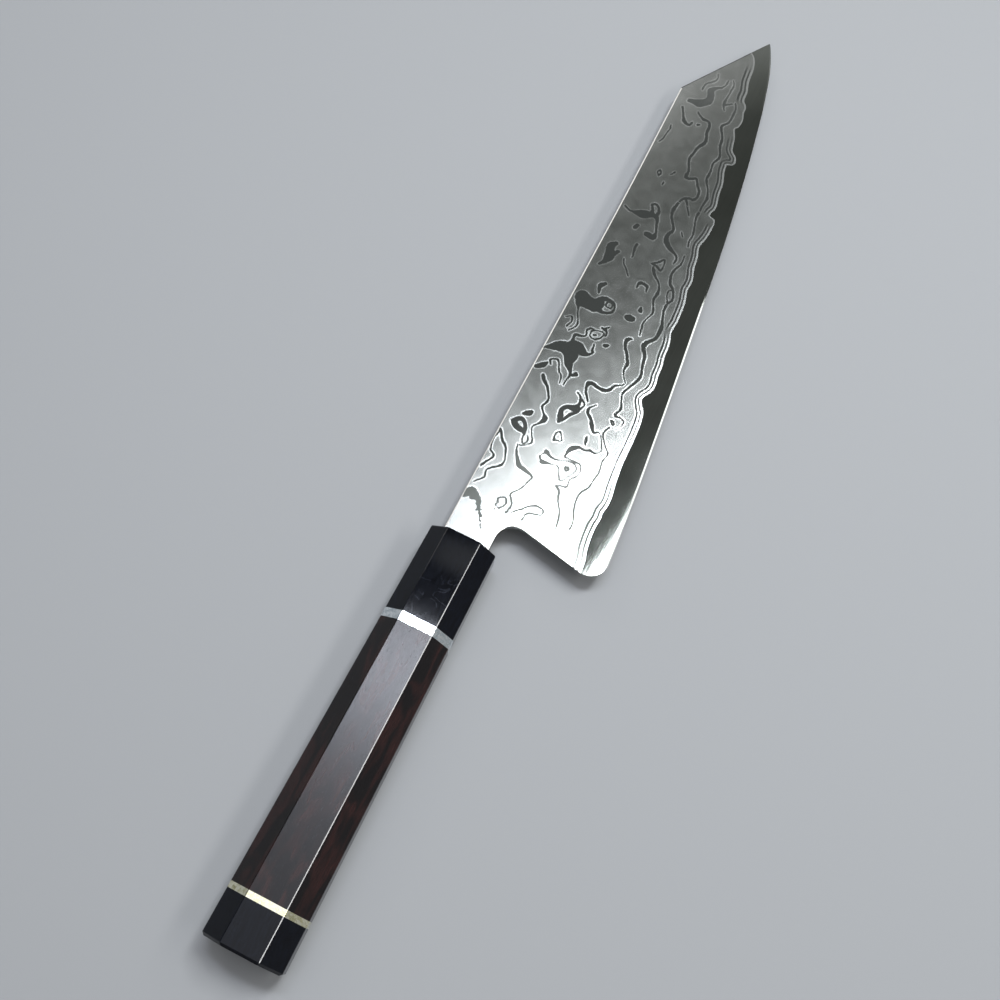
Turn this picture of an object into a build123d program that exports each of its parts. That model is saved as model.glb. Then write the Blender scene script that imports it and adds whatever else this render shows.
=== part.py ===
"""Kiritsuke kitchen knife: a laminated blade in an octagonal handle, lying on its side.

Every piece is modelled on the handle's axis. X runs from the butt to the tip and is zero at
the ferrule's front face, Y runs from the cutting edge to the spine, and Z is square to the
blade. At the end the whole knife is laid on the handle's lower facet, with +Z up.
All lengths are in millimetres and all angles in degrees.
"""
from build123d import *
import math
import os

# Handle, from the ferrule's front face back to the butt
handle_length = 130.0
ferrule_length = 29.0
front_spacer_length = 2.9
rear_spacer_length = 1.9
end_cap_length = 13.4
front_width = 21.4
front_thickness = 18.4
front_corner = 5.3
butt_width = 24.3
butt_thickness = 20.9
butt_corner = 6.3
arris_radius = 0.35
mouth_radius = 0.9
butt_bevel = 0.8

# Blade outline, from the ferrule's front face forward to the tip
blade_reach = 221.0
spine_height = 7.45
heel_depth = 42.0
neck_depth = 7.6
choil_reach = 13.4
choil_radius = 6.0
heel_radius = 6.0
heel_lean = 11.0
tip_depth = 12.2
clip_angle = 31.2

# Blade section: spine, crowned cheeks and the small bevel that makes the edge
spine_thickness = 2.1
spine_ease = 0.25
cheek_crown = 0.18
bevel_height = 0.9
bevel_thickness = 0.3

# Lamination: a hard core plate between two claddings, bared in a band along the edge
core_thickness = 0.5
band_height = 7.4

# Tang, which tapers to a blunt end inside the handle
shoulder_depth = 4.5
tang_root_height = 11.0
tang_end_height = 6.0

# Hidden dowels that hold the handle together, and the bedding round the tang. The tang dowel
# and the tang reach back as far as the web of solid wood between the two bores lets them
mouth_wall = 6.0
tang_dowel_diameter = 14.0
tang_dowel_root = 8.0
butt_dowel_diameter = 10.0
butt_dowel_in_cap = 8.0
butt_dowel_in_body = 9.0
bore_web = 8.0
glue_gap = 0.05
end_gap = 0.5
bedding_gap = 0.4

# How far every cutting shape runs past what it cuts
overrun = 20.0

# Stations along the blade: share of blade_reach, spine height as a share of spine_height,
# edge depth as a share of heel_depth, spine thickness as a share of spine_thickness
station_shares = [
    (0.000, 0.995, 1.003, 1.00),
    (0.063, 0.995, 0.995, 0.98),
    (0.158, 1.000, 0.961, 0.93),
    (0.276, 1.000, 0.902, 0.88),
    (0.448, 1.000, 0.807, 0.79),
    (0.640, 1.027, 0.693, 0.69),
    (0.805, 1.107, 0.562, 0.60),
    (0.896, 1.148, 0.471, 0.55),
    (0.959, 1.168, 0.386, 0.51),
    (0.991, 1.180, 0.319, 0.49),
    (1.023, 1.188, 0.226, 0.47),
]

# The forge line where the cladding ends: share of blade_reach, and height above the cutting
# edge as a share of band_height
forge_line_shares = [
    (-0.020, 0.90),
    (0.053, 0.88),
    (0.108, 1.06),
    (0.170, 1.03),
    (0.230, 1.15),
    (0.288, 0.93),
    (0.317, 1.15),
    (0.339, 0.82),
    (0.380, 0.87),
    (0.429, 0.99),
    (0.493, 0.91),
    (0.523, 0.85),
    (0.550, 0.93),
    (0.579, 1.13),
    (0.606, 0.97),
    (0.629, 0.80),
    (0.644, 1.00),
    (0.658, 1.05),
    (0.696, 0.93),
    (0.742, 1.03),
    (0.750, 0.80),
    (0.758, 0.66),
    (0.766, 0.87),
    (0.783, 0.99),
    (0.814, 1.10),
    (0.846, 1.13),
    (0.878, 1.01),
    (0.914, 1.04),
    (0.952, 1.05),
    (0.971, 1.19),
    (0.990, 1.60),
]

# Places along the handle's axis, worked out from the sizes above
ferrule_rear = -ferrule_length
body_front = ferrule_rear - front_spacer_length
butt = -handle_length
cap_front = butt + end_cap_length
body_rear = cap_front + rear_spacer_length
butt_dowel_rear = cap_front - butt_dowel_in_cap
butt_dowel_front = body_rear + butt_dowel_in_body
butt_bore_front = butt_dowel_front + end_gap
tang_bore_rear = butt_bore_front + bore_web
tang_dowel_front = -mouth_wall
tang_dowel_rear = tang_bore_rear + end_gap
kerf_rear = tang_dowel_rear + tang_dowel_root
tang_end = kerf_rear + bedding_gap
kerf_width = spine_thickness + 2 * bedding_gap


def between(share, front_value, butt_value):
    """A size of the tapered handle at a share of the way from its front to its butt."""
    return front_value + share * (butt_value - front_value)


def octagon(x):
    """Corners of the handle's section at x: a rectangle with its corners cut at 45 degrees."""
    share = -x / handle_length
    half_width = between(share, front_width, butt_width) / 2
    half_thickness = between(share, front_thickness, butt_thickness) / 2
    corner = between(share, front_corner, butt_corner)
    return [
        (x, half_width - corner, half_thickness),
        (x, half_width, half_thickness - corner),
        (x, half_width, corner - half_thickness),
        (x, half_width - corner, -half_thickness),
        (x, corner - half_width, -half_thickness),
        (x, -half_width, corner - half_thickness),
        (x, -half_width, half_thickness - corner),
        (x, corner - half_width, half_thickness),
    ]


def runs_lengthwise(edge):
    """Whether an edge runs along the handle and not across it."""
    return math.hypot(edge.tangent_at(0).Y, edge.tangent_at(0).Z) < abs(edge.tangent_at(0).X)


def handle_block(rear, front):
    """A solid length of the tapered octagon: eight flat facets between two flat ends."""
    rear_ring = octagon(rear)
    front_ring = octagon(front)
    corners = list(zip(rear_ring, front_ring))
    facets = [
        Face(Wire.make_polygon([first[0], second[0], second[1], first[1]]))
        for first, second in zip(corners, corners[1:] + corners[:1])
    ]
    ends = [Face(Wire.make_polygon(rear_ring)), Face(Wire.make_polygon(front_ring))]
    return Solid(Shell(facets + ends))


def ease_arrises(block):
    """Round the eight long arrises, as light sanding does."""
    return fillet(block.edges().filter_by(runs_lengthwise), arris_radius)


def rod(diameter, rear, front):
    """A round bar, or the drill that bores for it, along the handle's axis."""
    return extrude(Plane.YZ.offset(rear) * Circle(diameter / 2), front - rear)


def bar(rear, front, height, width):
    """A rectangular bar on the handle's axis, high along Y and wide along Z."""
    return extrude(Plane.YZ.offset(rear) * Rectangle(height, width), front - rear)


def blade_section(shares):
    """The blade's section at one station, closed at the sharp edge."""
    x = shares[0] * blade_reach
    spine = shares[1] * spine_height
    edge = -shares[2] * heel_depth
    half_spine = shares[3] * spine_thickness / 2
    half_bevel = bevel_thickness / 2
    ease = spine_ease * shares[3]
    cheek_top = spine - ease
    cheek_foot = edge + bevel_height
    full_cheek = spine_height + heel_depth
    crown = cheek_crown * (cheek_top - cheek_foot) / full_cheek
    middle = (cheek_top + cheek_foot) / 2
    half_middle = (half_spine + half_bevel) / 2 + crown
    wire = Wire([
        Line((spine, ease - half_spine), (spine, half_spine - ease)),
        Line((spine, half_spine - ease), (cheek_top, half_spine)),
        ThreePointArc((cheek_top, half_spine), (middle, half_middle), (cheek_foot, half_bevel)),
        Line((cheek_foot, half_bevel), (edge, 0)),
        Line((edge, 0), (cheek_foot, -half_bevel)),
        ThreePointArc((cheek_foot, -half_bevel), (middle, -half_middle), (cheek_top, -half_spine)),
        Line((cheek_top, -half_spine), (spine, ease - half_spine)),
    ])
    return Plane.YZ.offset(x) * Face(wire)


def blade_outline():
    """The side view that the ground stock is cut to: tang, neck, choil, heel and clipped tip."""
    corner_depth = heel_depth * station_shares[1][2]
    heel_corner = choil_reach - (corner_depth - neck_depth) * math.tan(math.radians(heel_lean))
    clip_run = (spine_height + overrun + tip_depth) / math.tan(math.radians(clip_angle))
    clip_drop = overrun * math.tan(math.radians(clip_angle))
    heel = FilletPolyline(
        (-shoulder_depth, -neck_depth),
        (choil_reach, -neck_depth),
        (heel_corner, -corner_depth),
        (blade_reach / 2, -corner_depth),
        radius=[choil_radius, heel_radius],
    )
    rest = Polyline(
        (blade_reach / 2, -corner_depth),
        (blade_reach / 2, -heel_depth - overrun),
        (blade_reach + overrun, -heel_depth - overrun),
        (blade_reach + overrun, -tip_depth - clip_drop),
        (blade_reach - clip_run, spine_height + overrun),
        (-shoulder_depth, spine_height + overrun),
        (-shoulder_depth, tang_root_height / 2),
        (tang_end, tang_end_height / 2),
        (tang_end, -tang_end_height / 2),
        (-shoulder_depth, -tang_root_height / 2),
        (-shoulder_depth, -neck_depth),
    )
    return make_face(heel + rest)


def blade_stock():
    """The whole laminated blade before it is split into its three layers."""
    sections = [blade_section(shares) for shares in station_shares]
    tang_stock = extrude(sections[0], tang_end - overrun)
    ground = loft(sections) + tang_stock
    return ground & extrude(blade_outline(), spine_thickness, both=True)


def edge_depth_at(share):
    """Depth of the cutting edge below the axis, read between the two stations beside it."""
    for near, far in zip(station_shares, station_shares[1:]):
        if share <= far[0]:
            part = (share - near[0]) / (far[0] - near[0])
            return heel_depth * (near[2] + part * (far[2] - near[2]))
    return heel_depth * station_shares[-1][2]


def bared_region(side):
    """Everything on one side of the blade that lies below its forge line.

    The two faces of a forged blade never match, so the left line swings the other way.
    """
    points = []
    for reach_share, band_share in forge_line_shares:
        height_share = band_share if side > 0 else 2 - band_share
        depth = edge_depth_at(reach_share)
        points.append((reach_share * blade_reach, height_share * band_height - depth))
    line = Spline(*points)
    closing = Polyline(
        points[-1],
        (points[-1][0] + overrun, points[-1][1]),
        (points[-1][0] + overrun, -heel_depth - overrun),
        (points[0][0], -heel_depth - overrun),
        points[0],
    )
    return extrude(make_face(line + closing), side * spine_thickness)


def make_cladding(stock, side):
    """One patterned outer layer: it lies on the core plate and ends at the forge line."""
    reach = blade_reach - tang_end + overrun
    outer = Pos(0, 0, side * (core_thickness + spine_thickness) / 2) * Box(
        2 * reach, 2 * reach, spine_thickness
    )
    return (stock & outer) - bared_region(side)


def make_ferrule():
    """Horn ferrule: bored from behind for the dowel, with a slot for the neck in its front wall."""
    block = ease_arrises(handle_block(ferrule_rear, 0))
    front_edges = block.faces().sort_by(Axis.X)[-1].edges()
    block = fillet(front_edges, mouth_radius)
    block -= rod(tang_dowel_diameter + 2 * glue_gap, ferrule_rear - overrun, tang_dowel_front)
    return block - mouth_slot(overrun)


def mouth_slot(front):
    """The slot that the neck goes through, with room for bedding all round it."""
    height = spine_height + neck_depth + 2 * bedding_gap
    centre = (spine_height - neck_depth) / 2
    return Pos(0, centre, 0) * bar(tang_dowel_front, front, height, kerf_width)


def make_front_spacer():
    """Metal ring between the ferrule and the wooden body."""
    block = ease_arrises(handle_block(body_front, ferrule_rear))
    return block - rod(tang_dowel_diameter + 2 * glue_gap, body_front, ferrule_rear)


def make_handle_body():
    """Ebony body, bored blind from both ends for the two dowels."""
    block = ease_arrises(handle_block(body_rear, body_front))
    block -= rod(tang_dowel_diameter + 2 * glue_gap, tang_bore_rear, body_front)
    return block - rod(butt_dowel_diameter + 2 * glue_gap, body_rear, butt_bore_front)


def make_rear_spacer():
    """Thin metal ring between the body and the end cap."""
    block = ease_arrises(handle_block(cap_front, body_rear))
    return block - rod(butt_dowel_diameter + 2 * glue_gap, cap_front, body_rear)


def make_end_cap():
    """Horn end cap with a bevelled butt and a blind bore for its dowel."""
    block = handle_block(butt, cap_front)
    butt_edges = block.faces().sort_by(Axis.X)[0].edges()
    block = ease_arrises(chamfer(butt_edges, butt_bevel))
    return block - rod(butt_dowel_diameter + 2 * glue_gap, butt_dowel_rear - end_gap, cap_front)


def make_tang_dowel():
    """Hardwood dowel with a sawn kerf, open at the front, that takes the tang."""
    kerf = bar(kerf_rear, tang_dowel_front, tang_dowel_diameter + overrun, kerf_width)
    return rod(tang_dowel_diameter, tang_dowel_rear, tang_dowel_front) - kerf


def make_butt_dowel():
    """Short hardwood dowel that pins the body, the rear spacer and the end cap together."""
    return rod(butt_dowel_diameter, butt_dowel_rear, butt_dowel_front)


def make_tang_bedding(stock):
    """Hard setting compound that fills the kerf and the mouth round the tang and neck."""
    kerf = bar(kerf_rear, tang_dowel_front, tang_dowel_diameter + overrun, kerf_width)
    filled = rod(tang_dowel_diameter, kerf_rear, tang_dowel_front) & kerf
    return filled + mouth_slot(0) - stock


stock = blade_stock()
right_cladding = make_cladding(stock, 1)
left_cladding = make_cladding(stock, -1)
pieces = {
    "core_steel": stock - right_cladding - left_cladding,
    "right_cladding": right_cladding,
    "left_cladding": left_cladding,
    "tang_bedding": make_tang_bedding(stock),
    "tang_dowel": make_tang_dowel(),
    "ferrule": make_ferrule(),
    "front_spacer": make_front_spacer(),
    "handle_body": make_handle_body(),
    "rear_spacer": make_rear_spacer(),
    "butt_dowel": make_butt_dowel(),
    "end_cap": make_end_cap(),
}

# Lay the knife on the handle's lower facet, which the taper tilts against the axis, and put
# the origin under the middle of the whole knife
facet_tilt = math.degrees(math.atan((butt_thickness - front_thickness) / 2 / handle_length))
laid = {name: Rot(0, facet_tilt, 0) * piece for name, piece in pieces.items()}
box = Compound([solid for piece in laid.values() for solid in piece.solids()]).bounding_box()
origin = Pos(-box.center().X, -box.center().Y, -box.min.Z)

os.makedirs("parts", exist_ok=True)
for name, piece in laid.items():
    export_step(origin * piece, f"parts/{name}.step")
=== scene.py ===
import bmesh
import bpy
import numpy as np
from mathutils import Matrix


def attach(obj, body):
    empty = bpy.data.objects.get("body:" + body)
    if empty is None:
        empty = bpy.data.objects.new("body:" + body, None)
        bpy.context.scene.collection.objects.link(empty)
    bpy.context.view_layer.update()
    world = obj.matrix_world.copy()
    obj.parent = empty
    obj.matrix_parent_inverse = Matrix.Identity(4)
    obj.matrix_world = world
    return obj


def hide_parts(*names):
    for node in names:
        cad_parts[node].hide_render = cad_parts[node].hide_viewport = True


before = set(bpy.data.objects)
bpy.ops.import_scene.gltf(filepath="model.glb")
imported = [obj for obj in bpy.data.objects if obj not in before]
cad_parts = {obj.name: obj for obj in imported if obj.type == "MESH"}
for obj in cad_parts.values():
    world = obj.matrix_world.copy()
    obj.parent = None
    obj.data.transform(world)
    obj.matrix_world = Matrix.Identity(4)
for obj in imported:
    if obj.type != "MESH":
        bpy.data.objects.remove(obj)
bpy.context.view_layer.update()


# Core steel: the hard plate in the middle of the laminated blade. It is bared in a polished band
# along the cutting edge, where a narrow second bevel makes the edge, and runs back through the
# neck as the tang. Lengths are in millimetres on the handle's axis, and angles in degrees.
blade_reach = 221.0
spine_height = 7.45
heel_depth = 42.0
spine_thickness = 2.1
spine_ease = 0.25
cheek_crown = 0.18
bevel_height = 0.5
bevel_thickness = 0.3
least_bevel = 0.05
core_thickness = 0.5
least_cladding = 0.01
band_height = 7.4
neck_depth = 7.6
shoulder_depth = 4.5
tang_root_height = 11.0
tang_end_height = 6.0
tang_end = -80.2
tip_depth = 12.2
point_width = 0.1
clip_slope = np.tan(np.radians(31.2))
heel_lean = 11.0
choil_radius = 6.0
choil_centre = (6.11, -13.6)
heel_radius = 6.0
heel_centre = (13.98, -35.79)
# Stations along the blade: x as a share of blade_reach, and there the spine's height, the
# edge's depth and the spine's thickness, as shares of the full ones
station_shares = np.array((
    (0.000, 0.995, 1.003, 1.00),
    (0.063, 0.995, 0.995, 0.98),
    (0.158, 1.000, 0.961, 0.93),
    (0.276, 1.000, 0.902, 0.88),
    (0.448, 1.000, 0.807, 0.79),
    (0.640, 1.027, 0.693, 0.69),
    (0.805, 1.107, 0.562, 0.60),
    (0.896, 1.148, 0.471, 0.55),
    (0.959, 1.168, 0.386, 0.51),
    (0.991, 1.180, 0.319, 0.49),
    (1.023, 1.188, 0.226, 0.47),
))
spine_share_at_clip = 1.14
# Where the right cladding ends: x, and the height above the edge as a share of band_height. The
# left one swings the other way, but drops no further than left_drop below the right one.
forge_line = np.array((
    (-4.5, 0.90), (8, 0.90), (12, 0.93), (15.5, 1.04), (18.5, 1.08), (23.5, 1.08), (27, 1.01),
    (28, 1.03), (31, 0.94), (33.5, 0.91), (37.5, 0.95), (46, 0.97), (54, 0.89), (58, 0.86),
    (63.5, 0.86), (65, 0.89), (68.5, 1.13), (69.5, 1.16), (70.5, 1.11), (72.5, 0.93), (74.5, 0.83),
    (75.5, 0.81), (80.5, 0.83), (82, 0.81), (86.5, 0.85), (91, 0.83), (93, 0.85), (95.5, 0.93),
    (97.5, 0.91), (100.5, 0.83), (102, 0.82), (108, 0.80), (113.5, 0.88), (115.5, 0.83),
    (116.5, 0.82), (121.5, 0.93), (126, 0.95), (130, 1.03), (131, 1.01), (132.5, 0.94),
    (138.5, 0.76), (142, 0.76), (142.5, 0.79), (143, 1.05), (143.5, 1.04), (144.5, 1.01),
    (146, 0.91), (148, 0.87), (151, 0.91), (157, 0.90), (164, 0.99), (165, 0.96), (165.5, 0.79),
    (166, 0.71), (168, 0.63), (169, 0.66), (170, 0.75), (171, 0.89), (173, 0.94), (176.5, 0.97),
    (179.5, 1.07), (180, 1.08), (180.5, 1.05), (181, 0.98), (182.5, 0.88), (185, 0.82), (188, 0.86),
    (190.5, 0.83), (191.5, 0.87), (192.5, 0.98), (193, 0.99), (196.5, 0.93), (201.5, 0.95),
    (208, 0.84), (211.5, 0.86), (213, 0.93), (213.5, 1.00), (215, 1.30), (219, 1.90),
))
left_drop = 0.3
handle_length = 130.0
handle_thicknesses = (18.4, 20.9)
facet_taper = np.arctan((handle_thicknesses[1] - handle_thicknesses[0]) / 2 / handle_length)
laid_at = np.array((-45.551, 14.824, 9.1996))
metres = 0.001
# The grid: rays from the neck, the choil and the heel reach the spine at fan_marks, and those
# from the edge lean forward by up to edge_lead, which fades out from lead_from over lead_length
columns_to_a_millimetre = 3
edge_columns, tip_columns = 519, 86
cheek_rows = 10
fan_marks = (9, 18.5, 30)
edge_lead, lead_from, lead_length = 22, 8, 90
tracing_rounds = 12
core_sharpness = 4
merging_distance = 0.0000001
next_to_nothing = 0.000001


def smooth_through(x, known_x, known):
    """Cubic pieces through the known points, each leaving at the mean slope of its neighbours."""
    slopes = np.gradient(known, known_x)
    x = np.clip(x, known_x[0], known_x[-1])
    i = np.clip(np.searchsorted(known_x, x) - 1, 0, len(known_x) - 2)
    span = known_x[i + 1] - known_x[i]
    t = (x - known_x[i]) / span
    return (known[i] * (2 * t**3 - 3 * t**2 + 1) + known[i + 1] * (3 * t**2 - 2 * t**3)
            + span * (slopes[i] * (t**3 - 2 * t**2 + t) + slopes[i + 1] * (t**3 - t**2)))


def along_blade(x, column, full):
    """A size of the blade at x: the stations' share of the full size, read smoothly."""
    return full * smooth_through(x, station_shares[:, 0] * blade_reach, station_shares[:, column])


def forge_height(x, side):
    """Where the cladding on a side, 1 for right and -1 for left, ends at x."""
    shares = forge_line[:, 1]
    if side < 0:
        shares = np.maximum(2 - shares, shares - left_drop)
    above_edge = smooth_through(x, forge_line[:, 0], shares * band_height)
    return above_edge - along_blade(x, 2, heel_depth)


def half_thickness(x, y):
    """Half the blade's thickness: a straight taper from spine to edge bevel with a parabolic
    crown over it, and below that the edge bevel, which falls straight to nothing."""
    spine = along_blade(x, 1, spine_height)
    edge = -along_blade(x, 2, heel_depth)
    foot = edge + bevel_height
    rise = np.clip((y - foot) / (spine - spine_ease - foot), 0, 1)
    thick = along_blade(x, 3, spine_thickness) / 2
    crown = cheek_crown * (spine - foot) / (spine_height + heel_depth)
    cheek = bevel_thickness / 2 * (1 - rise) + thick * rise + 4 * crown * rise * (1 - rise)
    return np.minimum(cheek, bevel_thickness / 2 * np.maximum((y - edge) / bevel_height, 0))


def upper_outline(x):
    """The spine, or the straight clip that cuts it off towards the tip."""
    clip = -tip_depth + (blade_reach - x) * clip_slope
    return np.minimum(along_blade(x, 1, spine_height), clip)


def steps(first, last, length):
    """Even steps from first up to last, for a line of that length in millimetres."""
    return np.linspace(first, last, int(length * columns_to_a_millimetre), endpoint=False)


def round_corner(centre, radius, from_angle, to_angle):
    """Points along an arc, between angles in degrees that turn left from the blade's length."""
    turn = np.radians((from_angle, to_angle))
    turns = steps(*turn, radius * abs(turn[1] - turn[0]))
    return np.array(centre) + radius * np.stack((np.cos(turns), np.sin(turns)), 1)


def blade_columns(side):
    """Matched points down the blade. Each column is a straight ray from the lower outline (neck,
    choil arc, leaning heel, heel arc, edge) to the upper one, and the rays fan out at the heel.
    Returns the low, forge-line and high ends as arrays of x and y, and where the forge line
    lies, as a share of each ray."""
    neck_x = steps(-shoulder_depth, choil_centre[0], choil_centre[0] + shoulder_depth)
    choil = round_corner(choil_centre, choil_radius, 90, -heel_lean)
    heel_corner = round_corner(heel_centre, heel_radius, 180 - heel_lean, 270)
    lean = np.radians(heel_lean)
    choil_end = np.array(choil_centre) + choil_radius * np.array((np.cos(lean), -np.sin(lean)))
    heel_length = np.linalg.norm(heel_corner[0] - choil_end)
    heel = choil_end + steps(0, 1, heel_length)[:, None] * (heel_corner[0] - choil_end)
    clip_start = blade_reach - (spine_height * spine_share_at_clip + tip_depth) / clip_slope
    edge_x = np.concatenate((
        np.linspace(heel_centre[0], clip_start, edge_columns, endpoint=False),
        np.linspace(clip_start, blade_reach - point_width, tip_columns),
    ))
    low = np.concatenate((
        np.stack((neck_x, np.full_like(neck_x, -neck_depth)), 1),
        choil, heel, heel_corner,
        np.stack((edge_x, -along_blade(edge_x, 2, heel_depth)), 1),
    ))
    lead = 1 - np.clip((edge_x - lead_from) / lead_length, 0, 1)
    lead = edge_lead * lead**2 * (3 - 2 * lead)
    neck_mark, choil_mark, heel_mark = fan_marks
    high_x = np.concatenate((
        np.interp(neck_x, (-shoulder_depth, choil_centre[0]), (-shoulder_depth, neck_mark)),
        np.linspace(neck_mark, choil_mark, len(choil), endpoint=False),
        np.linspace(choil_mark, heel_mark, len(heel), endpoint=False),
        np.linspace(heel_mark, edge_x[0] + lead[0], len(heel_corner), endpoint=False),
        edge_x + lead,
    ))
    high = np.stack((high_x, upper_outline(high_x)), 1)
    share = np.zeros(len(low))
    for _ in range(tracing_rounds):
        x = low[:, 0] + share * (high_x - low[:, 0])
        reach = np.maximum(high[:, 1] - low[:, 1], next_to_nothing)
        share = np.clip((forge_height(x, side) - low[:, 1]) / reach, 0, 1)
    return low, low + share[:, None] * (high - low), high, share


def lay_down(points):
    """Turn points from the handle's axis to its lower facet, by the facet's taper, move them to
    where the knife lies, and change millimetres to metres."""
    x, y, z = np.moveaxis(points, -1, 0)
    c, s = np.cos(facet_taper), np.sin(facet_taper)
    return (np.stack((x * c + z * s, y, z * c - x * s), -1) + laid_at) * metres


def in_scene(name, data):
    """A new object in the scene."""
    piece = bpy.data.objects.new(name, data)
    bpy.context.scene.collection.objects.link(piece)
    return piece


def skin(name, rows, sharp_angle, values=None):
    """A closed skin over a grid: rows[i, j] is point j of ring i, every ring closes on itself,
    and the first and last columns are capped. values are numbers for each point of the grid.
    Points that fall on one another, as along the edge, are merged, which drops empty faces."""
    rows = lay_down(rows)
    count, length = rows.shape[:2]
    index = np.arange(count * length).reshape(count, length)
    ahead = np.roll(index, -1, 0)
    quads = np.stack((index[:, :-1], index[:, 1:], ahead[:, 1:], ahead[:, :-1]), -1).reshape(-1, 4)
    flat = rows.reshape(-1, 3)
    a, b, c, d = (flat[quads[:, k]] for k in range(4))
    middle = (a + b + c + d) / 4 - flat.mean(0)
    # The faces have to look outwards
    if np.sum(np.cross(c - a, d - b) * middle) < 0:
        quads = quads[:, ::-1]
    first, last = index[:, 0].tolist(), index[::-1, -1].tolist()
    if quads[0, 0] != index[0, 0]:
        first, last = first[::-1], last[::-1]
    mesh = bpy.data.meshes.new(name)
    mesh.from_pydata(flat.tolist(), [], quads.tolist() + [first, last])
    for label, numbers in (values or {}).items():
        attribute = mesh.attributes.new(label, "FLOAT", "POINT")
        attribute.data.foreach_set("value", numbers.astype(np.float32).ravel())
    merged = bmesh.new()
    merged.from_mesh(mesh)
    bmesh.ops.remove_doubles(merged, verts=merged.verts, dist=merging_distance)
    merged.to_mesh(mesh)
    merged.free()
    mesh.shade_smooth()
    mesh.set_sharp_from_angle(angle=np.radians(sharp_angle))
    piece = in_scene(name, mesh)
    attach(piece, "root")
    return piece


def at_height(ends, share):
    """Points at a share of the way up every ray."""
    low, high = ends
    share = np.broadcast_to(np.asarray(share, float), (len(low),))
    return low + share[:, None] * (high - low)


def raised(points, height):
    """Give flat points their height above the blade's middle plane."""
    return np.concatenate((points, np.broadcast_to(height, (len(points),))[:, None]), 1)


def core_side(side, low, forge, high, share):
    """Rows up one side of the plate: the outline, the bevel's foot, which is a straight line that
    the heel's rounding cuts off, the bared cheek, and under the cladding to the spine."""
    reach = np.maximum(high[:, 1] - low[:, 1], next_to_nothing)
    foot = bevel_height - along_blade(low[:, 0], 2, heel_depth) - low[:, 1]
    foot_share = np.minimum(np.maximum(foot, least_bevel) / reach, share)
    cheek = [foot_share + part * (share - foot_share) for part in np.linspace(0, 1, cheek_rows)]
    rows = []
    for row_share in (0, *cheek):
        points = at_height((low, high), row_share)
        rows.append(raised(points, side * half_thickness(*points.T)))
    bared = rows[-1][:, 2]
    under = side * np.minimum(core_thickness / 2, side * bared - least_cladding)
    rows.append(raised(forge, np.where(share < 1, under, bared)))
    rows.append(raised(high, side * np.minimum(core_thickness / 2, half_thickness(*high.T))))
    return np.array(rows)


right_side = core_side(1, *blade_columns(1))
left_side = core_side(-1, *blade_columns(-1))
tang_x = np.array((tang_end, -shoulder_depth))
tang_half = np.array((tang_end_height, tang_root_height)) / 2
# The tang is a flat bar: all rows but the last lie on its lower corner
lower_corner, upper_corner = (np.stack((tang_x, y), 1) for y in (-tang_half, tang_half))
tang_side = np.stack([lower_corner] * (len(right_side) - 1) + [upper_corner])
tang_level = np.full(tang_side.shape[:2] + (1,), core_thickness / 2)
right_side = np.concatenate((np.concatenate((tang_side, tang_level), 2), right_side), 1)
left_side = np.concatenate((np.concatenate((tang_side, -tang_level), 2), left_side), 1)
core = skin("core_plate", np.concatenate((right_side, left_side[::-1])), core_sharpness)
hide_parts("core_steel")


def new_material(name, metallic=0.0, specular=0.5):
    """A material with a Principled shader. Returns it with its node tree and the shader."""
    material = bpy.data.materials.new(name)
    material.use_nodes = True
    shader = material.node_tree.nodes["Principled BSDF"]
    shader.inputs["Metallic"].default_value = metallic
    shader.inputs["Specular IOR Level"].default_value = specular
    return material, material.node_tree, shader


def joined(tree, socket, value):
    """Give a socket a number, a colour or another node's output."""
    if isinstance(value, bpy.types.NodeSocket):
        tree.links.new(value, socket)
    elif isinstance(value, tuple):
        socket.default_value = (*value, 1)
    else:
        socket.default_value = value


def worked_out(tree, operation, *values):
    """The output of a Math node."""
    node = tree.nodes.new("ShaderNodeMath")
    node.operation = operation
    for socket, value in zip(node.inputs, values):
        joined(tree, socket, value)
    return node.outputs[0]


def times(tree, first, second):
    """The product of two values."""
    return worked_out(tree, "MULTIPLY", first, second)


def weighed(tree, first, share, second):
    """Two masks in one: the first has its share of the whole, and the second the rest."""
    rest = times(tree, second, 1 - share)
    return worked_out(tree, "MULTIPLY_ADD", first, share, rest)


def eased(tree, value, start, end, first=0.0, last=1.0):
    """A value that goes smoothly from first to last while another goes from start to end."""
    node = tree.nodes.new("ShaderNodeMapRange")
    node.interpolation_type = "SMOOTHSTEP"
    for socket, number in zip(node.inputs, (value, start, end, first, last)):
        joined(tree, socket, number)
    return node.outputs[0]


def graded(tree, value, *stops):
    """A colour ramp through stops of place and colour, or place and grey level."""
    node = tree.nodes.new("ShaderNodeValToRGB")
    stop_list = node.color_ramp.elements
    while len(stop_list) < len(stops):
        stop_list.new(1)
    for element, (place, colour) in zip(stop_list, stops):
        element.position = place
        element.color = (*colour, 1) if isinstance(colour, tuple) else (colour, colour, colour, 1)
    joined(tree, node.inputs[0], value)
    return node.outputs[0]


def painted(tree, shader, colour, roughness):
    """Give the shader its colour and its roughness."""
    joined(tree, shader.inputs["Base Color"], colour)
    joined(tree, shader.inputs["Roughness"], roughness)


def bumped(tree, shader, height, distance, strength=1.0):
    """Relief from a height that runs from 0 to 1, over a distance in metres."""
    node = tree.nodes.new("ShaderNodeBump")
    node.inputs["Distance"].default_value = distance
    node.inputs["Strength"].default_value = strength
    joined(tree, node.inputs["Height"], height)
    tree.links.new(node.outputs["Normal"], shader.inputs["Normal"])


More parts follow.
